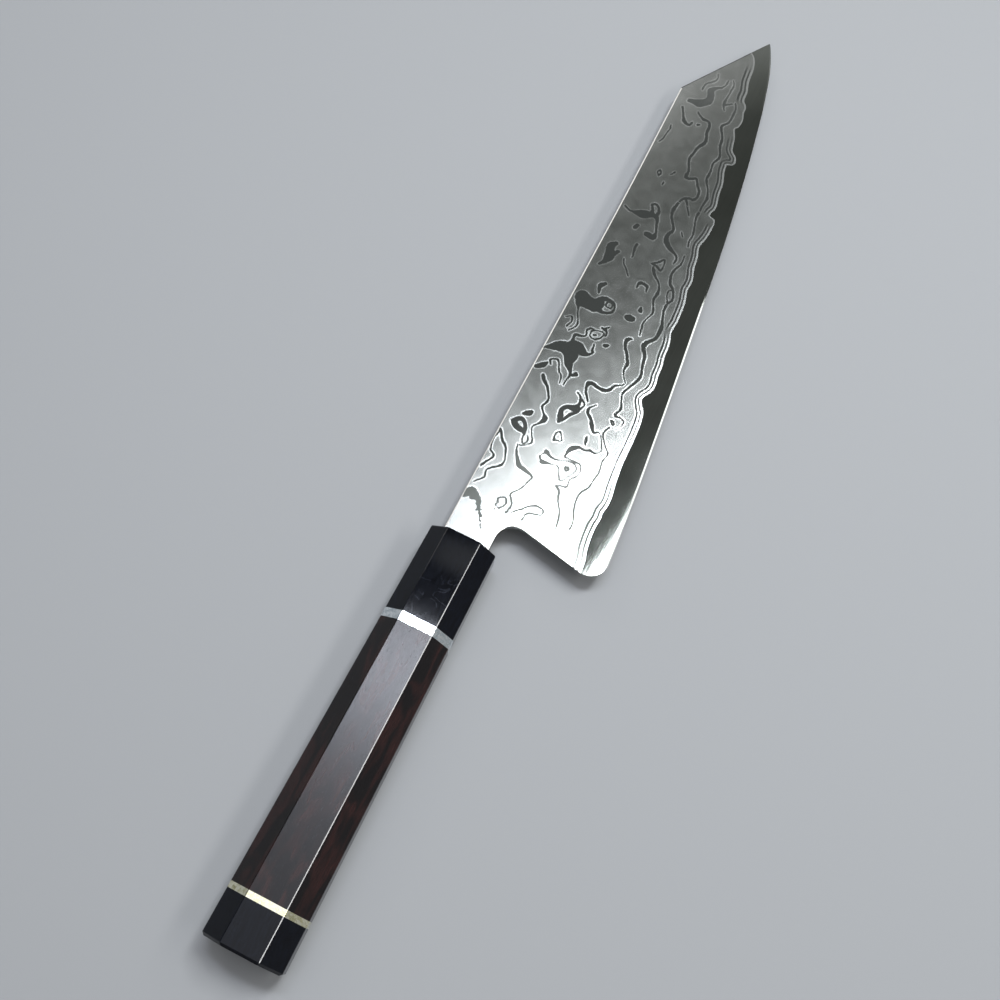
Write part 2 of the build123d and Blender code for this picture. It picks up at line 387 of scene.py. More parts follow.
def on_the_axis(tree):
    """Object coordinates turned back to the handle's axis, in millimetres."""
    place = tree.nodes.new("ShaderNodeTexCoord")
    turned = tree.nodes.new("ShaderNodeMapping")
    turned.vector_type = "TEXTURE"
    turned.inputs["Location"].default_value = laid_at * metres
    turned.inputs["Rotation"].default_value = (0, facet_taper, 0)
    turned.inputs["Scale"].default_value = (metres, metres, metres)
    tree.links.new(place.outputs["Object"], turned.inputs["Vector"])
    return turned.outputs["Vector"]


def new_effect(name, **numbers):
    """A shader node group with named number inputs and one output, a mask from 0 to 1. Returns it
    with its input sockets and the socket that takes the mask."""
    group = bpy.data.node_groups.new(name, "ShaderNodeTree")
    for label, value in numbers.items():
        socket = group.interface.new_socket(label, in_out="INPUT", socket_type="NodeSocketFloat")
        socket.default_value = value
    group.interface.new_socket("Mask", in_out="OUTPUT", socket_type="NodeSocketFloat")
    given = group.nodes.new("NodeGroupInput").outputs
    return group, given, group.nodes.new("NodeGroupOutput").inputs[0]


def placed(tree, effect, **values):
    """Place an effect in a material with its own values, and return its mask."""
    node = tree.nodes.new("ShaderNodeGroup")
    node.node_tree = effect
    for label, value in values.items():
        joined(tree, node.inputs[label], value)
    return node.outputs[0]


def noise_mask(name, per_millimetre, **numbers):
    """An effect made of noise in millimetres. per_millimetre gives the three scales from the
    effect's inputs, and the part of the noise between Low and High is spread over 0 to 1."""
    group, given, result = new_effect(name, **numbers, Twist=0.0, Low=0.3, High=0.7)
    scales = group.nodes.new("ShaderNodeCombineXYZ")
    for socket, scale in zip(scales.inputs, per_millimetre(group, given)):
        joined(group, socket, scale)
    stretched = group.nodes.new("ShaderNodeVectorMath")
    stretched.operation = "MULTIPLY"
    group.links.new(on_the_axis(group), stretched.inputs[0])
    group.links.new(scales.outputs[0], stretched.inputs[1])
    noise = group.nodes.new("ShaderNodeTexNoise")
    noise.inputs["Scale"].default_value = 1
    noise.inputs["Detail"].default_value = 2.5
    group.links.new(stretched.outputs[0], noise.inputs["Vector"])
    group.links.new(given["Twist"], noise.inputs["Distortion"])
    group.links.new(eased(group, noise.outputs["Fac"], given["Low"], given["High"]), result)
    return group


def lengthwise_scales(group, given):
    """Lines to a millimetre across the piece, and Stretch times fewer along it."""
    across = given["Fineness"]
    return worked_out(group, "DIVIDE", across, given["Stretch"]), across, across


def even_scales(group, given):
    """Patches of one size in every direction."""
    return (worked_out(group, "DIVIDE", 1, given["Size"]),) * 3


drawn_lines = noise_mask("drawn_lines", lengthwise_scales, Fineness=3.0, Stretch=20.0)
patches = noise_mask("patches", even_scales, Size=3.0)

core_colours = (0, (0.37, 0.39, 0.37)), (1, (0.44, 0.46, 0.44))
core_roughness = (0, 0.038), (1, 0.055)
polished, tree, shader = new_material("polished_core", metallic=1)
polish_lines = placed(tree, drawn_lines, Fineness=5, Stretch=60, Low=0.25, High=0.75)
haze = placed(tree, patches, Size=9, Twist=0.4, Low=0.3, High=0.7)
finish = weighed(tree, haze, 0.4, polish_lines)
painted(tree, shader, graded(tree, finish, *core_colours), graded(tree, finish, *core_roughness))
bumped(tree, shader, polish_lines, distance=0.0000012, strength=0.5)
core.data.materials.append(polished)


# Claddings: the two patterned outer layers of folded steel, forge welded to the core, ground
# flush with it and etched. Each ends at its own wavy forge line, and its dark layers come to
# the surface as meandering runs and islands with pale outlines.
ease_reach = 0.38
ease_slope = np.tan(np.radians(20))
greatest_ease = 0.3
greatest_drop = 0.9
cladding_rows = 104
deepest_reading = 3.0
# Dark layers bared by the grind: each run is x, y and half width at every bend. Wide places
# are widened a little, and thin ones kept to a least half width, which is more near the heel,
# where glare eats into them. The runs wander by slow and quick waves.
dark_runs = (
    (13.5, 6.8, 0.3, 15.8, 5.3, 1.3, 14.3, 2.8, 0.95, 12, 0.8, 0.7, 9.5, -0.8, 0.3, 6.5, -3, 0.1),
    (19.3, 6, 0.12, 21.5, 4.3, 0.2, 24.5, 4.6, 0.2, 26, 3.2, 0.45, 27.6, 1.6, 0.45, 30, 0.9, 0.25,
     33, 2, 0.25, 36, 4.8, 0.35, 38.6, 7, 0.45),
    (24.8, 7, 0.2, 27.5, 5.3, 0.3, 29.5, 4.8, 0.3, 31, 6.5, 0.2, 34, 7, 0.2, 38, 6.9, 0.2),
    (14, -3.5, 0.15, 16, -3.3, 0.1, 18.2, -2.8, 0.12, 19, -4.2, 0.12, 17.2, -5.5, 0.12,
     15.2, -4.6, 0.12, 14, -3.5, 0.15),
    (15, -6.7, 0.1, 15.8, -8.2, 0.1, 17.6, -10.8, 0.1, 19.6, -12.2, 0.12, 21.2, -15.4, 0.15,
     20.6, -17, 0.12, 19.3, -17, 0.12, 18, -13.5, 0.12, 17, -12.7, 0.1, 15, -12, 0.08),
    (15, -7, 0.08, 18, -7.2, 0.1, 20.7, -5.7, 0.12, 23.5, -7.2, 0.12, 26, -8.5, 0.15,
     29.2, -8.7, 0.25, 29.7, -6, 0.55, 31, -3.3, 0.65, 33, -1.5, 0.35, 35.5, -0.5, 0.25,
     36.6, -0.4, 0.12),
    (36.8, -1, 0.08, 37.5, -2.5, 0.15, 39.5, -3.7, 0.3, 42, -2.5, 0.2, 44, -1.9, 0.22,
     46.3, -3, 0.4, 48.3, -4.1, 0.85, 50, -3.2, 0.35, 51.5, -1.7, 0.3, 55, -2, 0.3,
     57.8, -0.9, 0.38, 60, 1.3, 0.5, 62, 2.9, 0.45),
    (43.3, 4.5, 0.8, 42.2, 3.4, 0.8, 41.8, 1.6, 0.8, 41.2, 0.1, 0.6, 40.3, -0.6, 0.15),
    (43.3, 4.5, 0.8, 44.7, 3.2, 0.7, 44.5, 1.1, 0.6, 43.1, 0.2, 0.6, 41.4, 0, 0.6),
    (40.6, -0.3, 0.2, 38.6, -0.9, 0.2, 37.8, -1.8, 0.2, 39, -2.4, 0.2, 40.6, -1.6, 0.2),
    (46.9, 2.5, 0.5, 47.6, 1.5, 0.9, 48.4, 0.9, 0.6),
    (34.8, -9.4, 0.7, 35.4, -11, 0.35, 35.9, -13, 0.15, 35.7, -14.7, 0.12, 33.3, -16, 0.12,
     32, -17, 0.15, 33, -18.3, 0.12, 35, -19.3, 0.12, 38, -19.8, 0.15, 39, -19, 0.12,
     38.8, -17, 0.1, 38.4, -15, 0.12, 37.8, -13, 0.25, 37.6, -11, 0.4, 38.6, -9.5, 0.8),
    (38.2, -9, 0.3, 37.2, -8.2, 0.2, 36.3, -7.9, 0.15, 35.2, -8.8, 0.2),
    (35.8, -17.4, 0.3, 36.4, -16.8, 0.3, 37.1, -17.4, 0.3, 36.4, -18, 0.3, 35.8, -17.4, 0.3),
    (43.3, -9.3, 0.35, 45.5, -9.4, 0.25, 46.6, -10.3, 0.2, 45.5, -11.5, 0.2, 44.3, -12.1, 0.2,
     43.8, -10.5, 0.2, 43.3, -9.3, 0.35),
    (49.8, -8.2, 0.4, 51.6, -7.8, 0.9, 53.6, -7.5, 0.7, 55.3, -8.4, 0.7, 56.2, -10.5, 0.8,
     58, -11.6, 0.5, 59.6, -11.4, 0.35, 61.2, -10.4, 0.25, 61.9, -9.4, 0.15),
    (50.5, -8.8, 0.3, 52.6, -10, 0.5, 54.6, -11.2, 0.5, 56.8, -12.4, 0.35, 59.2, -13.2, 0.2,
     59.8, -12, 0.3),
    (39.9, -14.8, 0.2, 42, -15.2, 0.5, 44, -16.5, 0.7, 45, -17.6, 0.5, 44.5, -19.5, 0.35,
     45.3, -21, 0.4, 45.7, -23.5, 0.25, 47.2, -24.4, 0.2, 49, -23.2, 0.12, 52.5, -21, 0.15,
     51.5, -19.3, 0.35, 53.5, -18, 0.7, 55.5, -17, 0.5, 56.5, -15.4, 0.5, 58.5, -15, 0.3,
     60.5, -16.3, 0.1),
    (39.8, -15, 0.12, 39.6, -18, 0.12, 39.9, -20.6, 0.12, 38.5, -21.2, 0.12, 35, -20.8, 0.15,
     33.3, -19.8, 0.15, 31, -19.7, 0.2, 30.3, -18, 0.25, 29.8, -16.9, 0.3, 28.5, -18.5, 0.4,
     25, -19.7, 0.35, 22, -21.5, 0.25, 19.5, -22.4, 0.15, 16, -22.9, 0.08),
    (46.5, -19, 0.25, 48, -18.8, 0.55, 49.3, -18.5, 0.2),
    (19, -26.3, 0.12, 22, -26.4, 0.25, 25.5, -25, 0.25, 28.7, -24.1, 0.35, 31, -24.6, 0.35,
     34, -25.8, 0.3, 38, -26.6, 0.25, 43, -26.3, 0.25, 47.5, -26.2, 0.2, 49, -24.8, 0.2,
     51, -23.2, 0.25, 53, -22.6, 0.3, 55.6, -23.2, 0.3),
    (57.8, -22.7, 0.25, 58.1, -23.5, 0.25, 57.5, -24.2, 0.25, 57, -23.6, 0.25, 57.8, -22.7, 0.25),
    (55.6, -25, 0.12, 57, -26.3, 0.15, 59.5, -26.6, 0.2, 60.3, -25.4, 0.15, 59.8, -23.4, 0.3,
     63, -23.7, 0.4, 66, -22.9, 0.3, 69, -22.3, 0.3, 71, -23, 0.35, 73.5, -24.3, 0.45,
     77, -24.6, 0.45, 81, -23.8, 0.4, 84.5, -22.6, 0.45, 87, -21.2, 0.75, 88.5, -21.9, 0.6,
     91, -23.3, 0.45, 94.5, -24, 0.6, 96.5, -23.6, 0.4, 99, -22.6, 0.35, 103, -22, 0.35,
     105.5, -21.9, 0.3, 107.5, -22.8, 0.4, 110, -21.9, 0.3, 113, -19.4, 0.4, 115, -18.6, 0.4,
     118, -19.2, 0.35, 121, -19.8, 0.25, 124.5, -20, 0.12),
    (105.5, -21.7, 0.3, 107.3, -20.5, 0.15, 109.5, -20.6, 0.15, 110.3, -21.6, 0.25),
    (60.5, -13.5, 0.2, 62, -12, 0.3, 64, -11.1, 0.35, 66.2, -11.2, 0.6, 67, -12.6, 0.55,
     66.2, -14, 0.5, 66.3, -16, 0.5, 67.5, -17.8, 0.45, 69.8, -19.2, 0.35, 71, -20.7, 0.25,
     72, -21.2, 0.2, 74, -19.9, 0.2, 76, -19.3, 0.3, 78.5, -19.2, 0.4, 81, -17.8, 0.5,
     84, -16.2, 0.45, 86.7, -15.8, 0.5, 87.6, -16.7, 0.15),
    (90, -18.8, 0.12, 92, -18.2, 0.15, 94.5, -17.5, 0.2, 96.5, -18.2, 0.2, 99, -19, 0.2,
     101, -18.4, 0.3, 103, -17.5, 0.35, 107, -17.5, 0.4, 110, -16.5, 0.3, 112, -14.8, 0.35,
     114, -13, 0.5, 115.2, -12.3, 0.1),
    (93.8, -12.7, 1.0, 94.1, -14, 0.8),
    (98.2, -15.1, 0.75, 99.1, -15, 0.4),
    (80.9, -10.3, 0.65, 81.2, -10.8, 0.6),
    (105.8, -10.3, 0.25, 107.3, -10.5, 0.4, 108.1, -12, 0.5, 107.5, -13.5, 0.45, 105.5, -13.9, 0.2),
    (71, 7.2, 0.3, 72, 5.6, 0.8, 73.6, 3, 1.2, 74.2, 0.6, 1.7, 72.8, -1.6, 1.9, 70.2, -2.2, 1.3,
     67.6, -3.6, 0.6, 66, -4.4, 0.3, 62, -4.2, 0.15),
    (73.5, 0, 1.5, 76, -1.6, 1.8, 75.6, -4.4, 1.2, 75.4, -6.6, 0.6, 76.3, -7.7, 0.35,
     78, -7, 0.25, 79.8, -6.7, 0.15),
    (74.5, 1.4, 0.8, 77.6, 0, 0.5, 79.8, -0.2, 0.4, 80.6, -2, 0.3, 81.6, -3, 0.25,
     83, -2.5, 0.25, 84.4, -3.5, 0.2, 84.9, -4.6, 0.1),
    (66.2, -4.8, 0.3, 67.4, -6.2, 0.6),
    (82.7, -5.4, 0.4, 82.9, -6, 0.35),
    (82.2, -4, 0.12, 81.2, -5, 0.12, 81.6, -6.8, 0.12, 83, -8, 0.12, 84.6, -7.9, 0.12,
     84.9, -6.2, 0.12, 83.8, -4.3, 0.12, 82.2, -4, 0.12),
    (84.2, -8.8, 0.12, 85.8, -8.2, 0.3, 86.2, -7, 0.5, 86.6, -6.3, 0.2),
    (86.2, -7, 0.4, 87.6, -8.7, 0.15),
    (64, 6, 0.7, 65, 5, 0.9, 66.4, 3.8, 0.5),
    (66.4, 2.4, 0.25, 68.2, 3.1, 0.3, 69, 1.6, 0.3, 67.5, 0, 0.2, 65.5, -1.2, 0.2,
     64, -2.5, 0.2, 62, -2.7, 0.12),
    (80.5, 2.5, 0.15, 82, 1.5, 0.2, 84, 1.3, 0.25, 87, 2.5, 0.2, 89.5, 3.2, 0.25, 91.5, 4.2, 0.9),
    (81.5, 3.7, 0.12, 83.5, 3.2, 0.2, 85.4, 4.3, 0.15, 84.5, 5.4, 0.12),
    (93.5, 4, 1.9, 92.6, 0.8, 2.0, 93.2, -1.6, 1.7, 95.8, -2, 0.9, 96.8, -4, 0.45,
     96.7, -6.3, 0.4, 94.4, -7.2, 0.3, 92.2, -6.2, 0.4, 91.6, -4.2, 0.6, 92.4, -2.6, 0.9),
    (93.9, -5.9, 0.12, 94.9, -3.9, 0.12, 96, -4.2, 0.12, 95.9, -6.2, 0.12, 93.9, -5.9, 0.12),
    (98, 0, 0.4, 100, 0.3, 0.7, 101.6, -0.8, 0.5),
    (108.3, -6, 0.15, 110, -4.5, 0.25, 112, -3, 0.2, 113.5, -2.5, 0.1),
    (107.6, 4.4, 0.4, 109.6, 2.7, 0.8, 112.6, 2.6, 1.3, 115.2, 3.4, 1.2, 117.4, 2.4, 0.6),
    (112.8, 2, 0.9, 115, 0.4, 0.6),
    (115.5, -4.3, 0.2, 118, -4, 0.4, 120.4, -4, 0.4),
    (132.2, 5.6, 0.3, 131.6, 2.7, 0.4, 131.9, 0.6, 1.0, 132.6, -1.5, 1.1, 133.5, -3.6, 0.9,
     133, -5.8, 0.6, 130, -6.9, 0.4, 127.2, -7.5, 0.4, 125.5, -7.6, 0.8, 125.9, -5.4, 0.9),
    (133.8, -3.8, 0.7, 135.8, -3, 0.4, 137.2, -1.9, 0.35, 137.9, -3.8, 0.4, 136.2, -5, 0.4,
     133.6, -5.2, 0.6),
    (126.2, -0.5, 0.7, 127.3, -1.1, 0.7),
    (116.4, -11.2, 0.2, 117.8, -12.8, 0.45, 119.6, -14.6, 0.25, 117, -14.9, 0.12,
     115.3, -14.9, 0.25, 116, -13, 0.35, 116.4, -11.2, 0.2),
    (120, -17.8, 0.12, 122, -17.6, 0.3, 124, -15.5, 0.5, 125.3, -13, 0.8, 127, -11.8, 0.8,
     129.5, -11.8, 0.5, 131.5, -12.3, 0.4, 134, -11, 0.4, 137, -9.8, 0.4, 140, -9.2, 0.5,
     143, -10, 0.4, 145.4, -11.3, 0.45, 146, -13.6, 0.35, 148, -14.7, 0.35, 150, -14.2, 0.3,
     152.5, -12.4, 0.3, 154.2, -11, 0.4, 153.2, -9.3, 0.6, 153.2, -8.2, 0.5, 156, -7.5, 0.4,
     159, -6.6, 0.4, 161.5, -6.1, 0.4, 165, -6.5, 0.4, 167, -7.3, 0.5, 170, -8, 0.55,
     174, -7.3, 0.45, 176.5, -6.7, 0.4, 178.3, -5.5, 0.45, 178.4, -3.8, 0.5, 178.9, -2, 0.25,
     180.3, -0.8, 0.12),
    (144.6, -11.6, 0.3, 142.5, -13.3, 0.3, 139.4, -14.8, 0.15),
    (130.8, -16, 0.25, 132.3, -15.2, 0.2),
    (128, -19.2, 0.15, 130.5, -18.9, 0.25, 132.5, -19.3, 0.2, 135.5, -18.3, 0.25, 139, -17.7, 0.3,
     144, -17.3, 0.3, 148, -17.8, 0.35, 152, -16.5, 0.25, 157, -14.5, 0.35, 160, -14.3, 0.3,
     164, -14.3, 0.3, 167, -14.8, 0.4, 170, -13.8, 0.35, 174, -12.7, 0.35, 179.5, -11, 0.4,
     181.5, -12, 0.35, 184, -12.6, 0.35, 188, -12, 0.25, 190.4, -11.2, 0.1),
    (149.3, 0.7, 0.25, 150.3, 1.4, 0.25, 151.2, 0.8, 0.25, 150.2, 0.1, 0.25, 149.3, 0.7, 0.25),
    (151.4, -2.6, 0.2, 153, -3.8, 0.35),
    (146.3, -1.8, 0.25, 147.3, -2.1, 0.2),
    (162, 6.2, 0.12, 165, 5.2, 0.2, 168, 4.9, 0.2, 170.6, 5.4, 0.12),
    (179.4, 4.6, 0.4, 176, 3, 0.4, 173.5, 1.2, 0.5, 173.3, 0.2, 0.4, 175, -1, 0.25),
    (175.2, -3.2, 0.5, 175.5, -3.7, 0.4),
    (183.3, 3.6, 0.8, 183.6, 0.4, 1.1, 185.5, -1.9, 1.1, 188.5, -2.4, 1.1, 191, -1.6, 0.9,
     192.8, -2.6, 0.6, 194, -4.5, 0.3, 195.5, -5.4, 0.2, 198, -5.2, 0.1),
    (190, 1.6, 0.3, 193, 0.8, 0.25, 195.3, -0.8, 0.2, 196.6, -1.7, 0.2, 198.6, -1.2, 0.1),
    (185.5, -9, 0.2, 187.5, -8, 0.4, 190, -7.5, 0.3, 194, -8, 0.25, 197, -7.7, 0.2,
     198.8, -6.7, 0.1),
    (187.5, -8.2, 0.3, 189, -9.5, 0.25, 189.6, -10.2, 0.12),
)
widening, wide_from, wide_length = 0.25, 0.4, 0.8
least_width_at, least_half_widths = (18, 34), (0.34, 0.2)
slow_wander, quick_wander = 0.2, 0.04
run_piece = 0.5
# Two thin dark layers run beside the forge line: their spacing along the blade, and where they
# show. The gap from the line is searched for among shifts along it.
spacing_reach, layer_spacing = (0, 30, 50, 165, 190, 221), (1.12, 1.1, 1.0, 1.0, 1.18, 1.2)
shown_reach = (93, 95, 96, 98, 138.5, 140, 143, 144, 165, 165.6, 166.4, 167, 174, 177, 190.5,
               192.5, 205, 209)
layers_shown = (1, 0, 0, 1, 1, 0, 0, 1, 1, 0.5, 0.5, 1, 0.8, 0, 0, 1, 1, 0)
gap_shifts = np.arange(-3, 3.05, 0.1)
left_pattern_length = 218
layer_sharpness = 12


def layer_depth(x, y):
    """Distance in millimetres from the nearest dark layer's outline, less than nothing inside.
    Each run is a smooth line through its bends; the distance to every short piece of it is
    measured to its middle line, less the width there, and the smallest is kept."""
    slow_x, quick_x = np.sin(1.1 * y + 0.6 * x), np.sin(3.1 * y - 1.9 * x)
    slow_y, quick_y = np.sin(0.9 * x - 0.5 * y + 2), np.sin(2.7 * x + 2.3 * y)
    x = x + slow_wander * slow_x + quick_wander * quick_x
    y = y + slow_wander * slow_y + quick_wander * quick_y
    depth = np.full(x.shape, deepest_reading)
    for run in dark_runs:
        bends = np.reshape(run, (-1, 3)).astype(float)
        wide = np.clip((bends[:, 2] - wide_from) / wide_length, 0, 1)
        least = np.interp(bends[:, 0], least_width_at, least_half_widths)
        bends[:, 2] = np.maximum(least, bends[:, 2] * (1 + widening * wide))
        apart = np.linalg.norm(np.diff(bends[:, :2], axis=0), axis=1)
        travel = np.concatenate(([0], np.cumsum(apart)))
        at = np.linspace(0, travel[-1], max(2, int(travel[-1] / run_piece)))
        line = np.stack([smooth_through(at, travel, bends[:, k]) for k in range(3)], 1)
        margin = deepest_reading + line[:, 2].max()
        (left, bottom), (right, top) = line[:, :2].min(0) - margin, line[:, :2].max(0) + margin
        near = (x > left) & (x < right) & (y > bottom) & (y < top)
        px, py, best = x[near], y[near], depth[near]
        for (x0, y0, w0), (x1, y1, w1) in zip(line, line[1:]):
            along = (px - x0) * (x1 - x0) + (py - y0) * (y1 - y0)
            part = np.clip(along / ((x1 - x0)**2 + (y1 - y0)**2), 0, 1)
            gap = np.hypot(px - x0 - part * (x1 - x0), py - y0 - part * (y1 - y0))
            best = np.minimum(best, gap - w0 - part * (w1 - w0))
        depth[near] = best
    return depth


def cladding_grid(side):
    """Rings round one cladding: up the outer face from the forge line to the outline, over the
    eased rim and back down the inner face that lies on the core plate. Returns the points and,
    for each, its layer depth, its gap from the forge line, measured square to it in spacings of
    the thin layers, whether these show there, and whether it is on the rim. The left side's
    layers are the right side's, read from the tip end."""
    forge, high, share = blade_columns(side)[1:]
    stop = np.argmax(share >= 1) + 1
    forge, high, share = forge[:stop], high[:stop], share[:stop]
    width = np.maximum(np.linalg.norm(high - forge, axis=1), next_to_nothing)
    thick_low, thick_high = half_thickness(*forge.T), half_thickness(*high.T)
    inner_low, inner_high = (np.minimum(core_thickness / 2, thick - least_cladding)
                             for thick in (thick_low, thick_high))
    on_outline = np.where(share > 0, 0, 1)
    upper_ease = np.minimum(ease_reach, greatest_ease * width)
    lower_ease = upper_ease * on_outline
    lower_drop, upper_drop = (
        np.minimum(ease * ease_slope, (thick - inner) * greatest_drop)
        for ease, thick, inner in ((lower_ease, thick_low, inner_low),
                                   (upper_ease, thick_high, inner_high)))
    rows = [raised(forge, side * inner_low), raised(forge, side * (thick_low - lower_drop))]
    start, end = lower_ease / width, 1 - upper_ease / width
    for part in np.linspace(0, 1, cladding_rows):
        points = at_height((forge, high), start + part * (end - start))
        rows.append(raised(points, side * half_thickness(*points.T)))
    rows += [raised(high, side * (thick_high - upper_drop)), raised(high, side * inner_high)]
    rows = np.array(rows)
    x, y = rows[..., 0], rows[..., 1]
    read_x = x if side > 0 else left_pattern_length - x
    read_y = y - forge_height(x, side) + forge_height(read_x, 1)
    gaps = [np.hypot(shift, y - forge_height(x + shift, side)) for shift in gap_shifts]
    rim = np.zeros(x.shape)
    rim[:2], rim[-2:] = on_outline, 1
    return rows, {
        "layer_depth": layer_depth(read_x, read_y),
        "forge_gap": np.min(gaps, 0) / np.interp(read_x, spacing_reach, layer_spacing),
        "layers_shown": np.interp(read_x, shown_reach, layers_shown),
        "rim": rim,
    }


def carried(tree, label):
    """A number that the mesh carries at its points or faces."""
    node = tree.nodes.new("ShaderNodeAttribute")
    node.attribute_name = label
    return node.outputs["Fac"]


def mixed(tree, share, first, second):
    """A blend of two colours or grey levels."""
    node = tree.nodes.new("ShaderNodeMix")
    node.data_type = "RGBA"
    joined(tree, node.inputs["Factor"], share)
    # A Mix node has its two colour sockets and its colour output at these places
    joined(tree, node.inputs[6], first)
    joined(tree, node.inputs[7], second)
    return node.outputs[2]


def on_axis(tree, direction):
    """One coordinate on the handle's axis, in millimetres."""
    parts = tree.nodes.new("ShaderNodeSeparateXYZ")
    tree.links.new(on_the_axis(tree), parts.inputs[0])
    return parts.outputs[direction]


# Tone runs from 0, etched dark, to 1, bright. What changes along the blade goes from one x to
# another, and from the first measure to the second.
frayed_neck = (13, 19, 1.1, 0.1)
# The ground steel's tone falls a little beyond the heel and rises towards the tip. This is painted
# shade and painted light that follow how the reflections fade and return along the blade.
painted_shade_beyond_heel, painted_light_to_tip = (60, 95, 0.3, 0.25), (140, 190, 0, 0.08)
cloud_share, speckle_share = 0.2, 0.025
outline_strength = (70, 120, 0.36, 0.24)
bite_to_tip = (172, 205, 0.95, 0.5)
broad_to_thin = (22, 50, 1, 0)
layer_brightness = (60, 110, 1, 0.78)
# What changes across a layer's outline, in millimetres, or off the forge line, in spacings
dark_edge = (-0.04, 0.12, 1, 0)
outline_inside, outline_outside = (0.1, 0.2, 0, 1), (0.32, 0.62, 1, 0)
bright_seam = (0.38, 0.6, 0.95, 0)
last_spacing = (2.6, 3, 1, 0)
spacings_in_ramp = 3
drift_reach = 0.12
thin_layer_tones = (
    (0, 0.95), (0.19, 0.92), (0.255, 0.04), (0.335, 0.04), (0.43, 0.85), (0.52, 0.85),
    (0.6, 0.03), (0.73, 0.03), (0.83, 0.8), (1, 0.45),
)
broad_layer_tones = (
    (0, 0.9), (0.13, 0.85), (0.2, 0.02), (0.44, 0.02), (0.49, 0.8), (0.55, 0.8),
    (0.61, 0.02), (0.89, 0.02), (0.94, 0.8), (1, 0.45),
)
# Etched dark steel is dim and smooth, with a slight haze; the ground steel is finely brushed
steel_colours = (
    (0.03, (0.18, 0.19, 0.18)), (0.3, (0.56, 0.575, 0.56)), (0.5, (0.63, 0.645, 0.63)),
    (1.0, (0.97, 0.98, 0.97)),
)
steel_roughness = (0.03, 0.105), (0.28, 0.153), (0.56, 0.176), (0.76, 0.235), (1.0, 0.26)
dark_haze, etched_step = (0.02, 0.3, 0.84, 1), (0, 0.3)
rim_colour, rim_roughness = (0.7, 0.71, 0.7), (0.16, 0.16, 0.16)

etched, tree, shader = new_material("etched_layers", metallic=1)
along = on_axis(tree, "X")
cloud = placed(tree, patches, Size=4.5, Twist=0.6, Low=0.25, High=0.75)
speckle = placed(tree, patches, Size=0.3, Low=0.3, High=0.7)
# The ground's level along the blade: painted shade beyond the heel, painted light towards the tip
painted_ground_level = worked_out(tree, "ADD", eased(tree, along, *painted_shade_beyond_heel),
                   eased(tree, along, *painted_light_to_tip))
ground = worked_out(tree, "MULTIPLY_ADD", speckle, speckle_share, painted_ground_level)
ground = worked_out(tree, "MULTIPLY_ADD", cloud, cloud_share, ground)
uneven = worked_out(tree, "SUBTRACT", placed(tree, patches, Size=0.7), 0.5)
fray = times(tree, uneven, eased(tree, along, *frayed_neck))
depth = worked_out(tree, "ADD", carried(tree, "layer_depth"), fray)
outline = times(tree, eased(tree, depth, *outline_inside), eased(tree, depth, *outline_outside))
tone = worked_out(tree, "MULTIPLY_ADD", outline, eased(tree, along, *outline_strength), ground)
bite = times(tree, eased(tree, depth, *dark_edge), eased(tree, along, *bite_to_tip))
tone = times(tree, tone, worked_out(tree, "SUBTRACT", 1, bite))
swing = placed(tree, patches, Size=3, Low=0.25, High=0.75)
drift = worked_out(tree, "MULTIPLY_ADD", swing, drift_reach, -drift_reach / 2)
gap = worked_out(tree, "ADD", carried(tree, "forge_gap"), drift)
in_ramp = times(tree, gap, 1 / spacings_in_ramp)
layers = mixed(tree, eased(tree, along, *broad_to_thin),
               graded(tree, in_ramp, *thin_layer_tones), graded(tree, in_ramp, *broad_layer_tones))
brightness = eased(tree, along, *layer_brightness)
beside_forge = times(tree, eased(tree, gap, *last_spacing), carried(tree, "layers_shown"))
change = worked_out(tree, "SUBTRACT", times(tree, layers, brightness), tone)
tone = worked_out(tree, "MULTIPLY_ADD", change, beside_forge, tone)
seam = times(tree, eased(tree, gap, *bright_seam), brightness)
tone = worked_out(tree, "MAXIMUM", tone, seam)
rim = carried(tree, "rim")
painted(tree, shader, mixed(tree, rim, graded(tree, tone, *steel_colours), rim_colour),
        mixed(tree, rim, graded(tree, tone, *steel_roughness), rim_roughness))
joined(tree, shader.inputs["Metallic"], eased(tree, tone, *dark_haze))
bumped(tree, shader, eased(tree, tone, *etched_step), distance=0.00001, strength=0.4)
for side, name in ((1, "right_cladding"), (-1, "left_cladding")):
    grid, carried_numbers = cladding_grid(side)
    cladding = skin(name.replace("cladding", "layers"), grid, layer_sharpness, carried_numbers)
    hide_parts(name)
    cladding.data.materials.append(etched)


# Tang bedding: the hard compound that holds the tang in the dowel's kerf and fills the ferrule's
# mouth round the neck. It is poured in, sets dark and slightly lumpy, and is wiped flush.
def finished(node, material):
    """Give a CAD node its finish."""
    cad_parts[node].data.materials.clear()
    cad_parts[node].data.materials.append(material)


compound_colours = (0, (0.008, 0.007, 0.007)), (1, (0.026, 0.023, 0.021))
compound_roughness = (0, 0.6), (1, 0.42)
set_compound, tree, shader = new_material("set_compound", specular=0.4)
lumps = placed(tree, patches, Size=0.7, Twist=0.5)
painted(tree, shader, graded(tree, lumps, *compound_colours),
        graded(tree, lumps, *compound_roughness))
bumped(tree, shader, lumps, distance=0.00004, strength=0.6)
finished("tang_bedding", set_compound)


